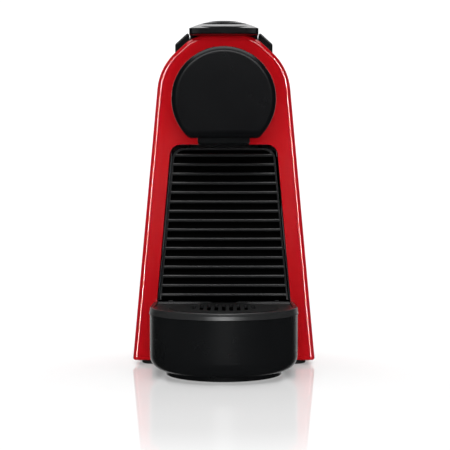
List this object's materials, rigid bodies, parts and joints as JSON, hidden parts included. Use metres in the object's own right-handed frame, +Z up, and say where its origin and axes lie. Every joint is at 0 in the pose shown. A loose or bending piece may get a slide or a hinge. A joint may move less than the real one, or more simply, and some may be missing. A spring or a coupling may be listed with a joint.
{
  "type": "pod coffee machine",
  "caption": "Compact pod coffee machine with a round head, a lever brew unit, a capsule bin, a drip unit and a rear water tank.",
  "frame": {"origin": "on the resting plane, under the middle of the overall box", "axes": "+Z up, the front with the coffee outlet faces -Y, the water tank is at +Y"},
  "size_m": [0.1098, 0.325, 0.206],
  "materials": {
    "red_shell": "glossy",
    "black_gloss": "satin gloss",
    "black_satin": "satin",
    "black_inner": "matt",
    "smoked_clear": "clear, smoked",
    "lid_black": "satin",
    "nylon_grey": "matt",
    "nylon_white": "matt",
    "steel": "brushed",
    "spring_steel": "bright",
    "aluminium": "cast",
    "rubber": "matt",
    "silicone": "matt",
    "feed_metal": "plain",
    "coil_varnish": "varnished",
    "board_green": "matt"
  },
  "bodies": {
    "machine": {"main_shell": "red_shell", "base_plate": "black_inner", "rear_cover": "black_satin", "tank_shelf": "black_satin", "top_cover": "black_satin", "capsule_funnel": "black_inner", "feet": "rubber", "base_screws": "spring_steel", "frame_screws": "spring_steel", "cord_gland": "black_inner", "head_cover": "black_gloss", "head_housing": "black_satin", "coffee_outlet": "black_satin", "lever_axle": "steel", "extraction_plate": "steel", "brew_frame": "nylon_grey", "feed_tube": "feed_metal", "button_spring_short": "spring_steel", "button_spring_long": "spring_steel", "button_board": "board_green", "button_switches": "nylon_white", "tank_socket": "black_inner", "socket_seal": "rubber", "pump_body": "nylon_grey", "pump_coil": "coil_varnish", "pump_spring": "spring_steel", "pump_mounts": "rubber", "flow_meter_body": "nylon_grey", "thermoblock": "aluminium", "heating_element": "steel", "thermal_cutouts": "aluminium", "thermoblock_bracket": "steel", "control_board": "board_green", "board_components": "board_green", "hose_tank_to_meter": "silicone", "hose_meter_to_pump": "silicone", "hose_pump_to_heater": "silicone", "hose_heater_to_feed": "silicone"},
    "lever_arm": {"lever": "black_satin", "crank_pin": "steel"},
    "links": {"toggle_links": "nylon_grey", "link_pins": "steel"},
    "cage": {"capsule_cage": "nylon_grey", "piercing_plate": "steel", "cage_seal": "rubber"},
    "short_button": {"button_short": "black_satin"},
    "long_button": {"button_long": "black_satin"},
    "tank": {"water_tank": "smoked_clear", "tank_valve_body": "nylon_grey", "tank_valve_spring": "spring_steel", "tank_filter": "nylon_white"},
    "lid": {"tank_lid": "lid_black"},
    "valve": {"tank_valve_plunger": "nylon_grey"},
    "drip_unit": {"drip_base": "black_satin"},
    "container": {"capsule_container": "black_satin"},
    "tray": {"drip_tray": "black_inner"},
    "cup_plate": {"cup_support": "black_satin"},
    "grid": {"drip_grid": "black_satin"},
    "armature": {"pump_armature": "steel"},
    "meter_rotor": {"flow_meter_rotor": "nylon_white"}
  },
  "joints": [
    {"name": "lever_hinge", "type": "hinge", "parent": "machine", "child": "lever_arm", "pos_m": [0, 0.004, 0.176], "axis": [-1, 0, 0], "range_deg": [0, 85]},
    {"name": "link_hinge", "type": "hinge", "parent": "lever_arm", "child": "links", "pos_m": [0, -0.01101, 0.17046], "axis": [-1, 0, 0], "range_deg": [-129.3, 0]},
    {"name": "cage_slide", "type": "slide", "parent": "machine", "child": "cage", "axis": [0, 1, 0], "range_m": [0, 0.0265]},
    {"name": "short_button_press", "type": "slide", "parent": "machine", "child": "short_button", "axis": [0, 0, -1], "range_m": [0, 0.0015], "stiffness_N_per_m": 500, "springref_m": -0.0008, "deforming": ["button_spring_short"]},
    {"name": "long_button_press", "type": "slide", "parent": "machine", "child": "long_button", "axis": [0, 0, -1], "range_m": [0, 0.0015], "stiffness_N_per_m": 500, "springref_m": -0.0008, "deforming": ["button_spring_long"]},
    {"name": "tank_lift", "type": "slide", "parent": "machine", "child": "tank", "axis": [0, 0, 1], "range_m": [0, 0.08]},
    {"name": "lid_lift", "type": "slide", "parent": "tank", "child": "lid", "axis": [0, 0, 1], "range_m": [0, 0.05]},
    {"name": "valve_slide", "type": "slide", "parent": "tank", "child": "valve", "axis": [0, 0, -1], "range_m": [0, 0.0029], "stiffness_N_per_m": 100, "deforming": ["tank_valve_spring"]},
    {"name": "drip_unit_slide", "type": "slide", "parent": "machine", "child": "drip_unit", "axis": [0, -1, 0], "range_m": [0, 0.1]},
    {"name": "container_slide", "type": "slide", "parent": "drip_unit", "child": "container", "axis": [0, 1, 0], "range_m": [-0.07, 0]},
    {"name": "tray_lift", "type": "slide", "parent": "drip_unit", "child": "tray", "axis": [0, 0, 1], "range_m": [0, 0.04]},
    {"name": "cup_plate_lift", "type": "slide", "parent": "tray", "child": "cup_plate", "axis": [0, 0, 1], "range_m": [0, 0.03]},
    {"name": "grid_lift", "type": "slide", "parent": "cup_plate", "child": "grid", "axis": [0, 0, 1], "range_m": [0, 0.02]},
    {"name": "armature_stroke", "type": "slide", "parent": "machine", "child": "armature", "axis": [0, 1, 0], "range_m": [-0.002, 0.002], "stiffness_N_per_m": 800},
    {"name": "meter_spin", "type": "hinge", "parent": "machine", "child": "meter_rotor", "pos_m": [-0.023, 0.008, 0.022], "axis": [0, 0, 1], "continuous": true}
  ],
  "couplings": [
    {"joint": "link_hinge", "follows": "lever_hinge", "ratio": -1.5196},
    {"joint": "cage_slide", "follows": "lever_hinge", "m_per_rad": 0.017805}
  ]
}
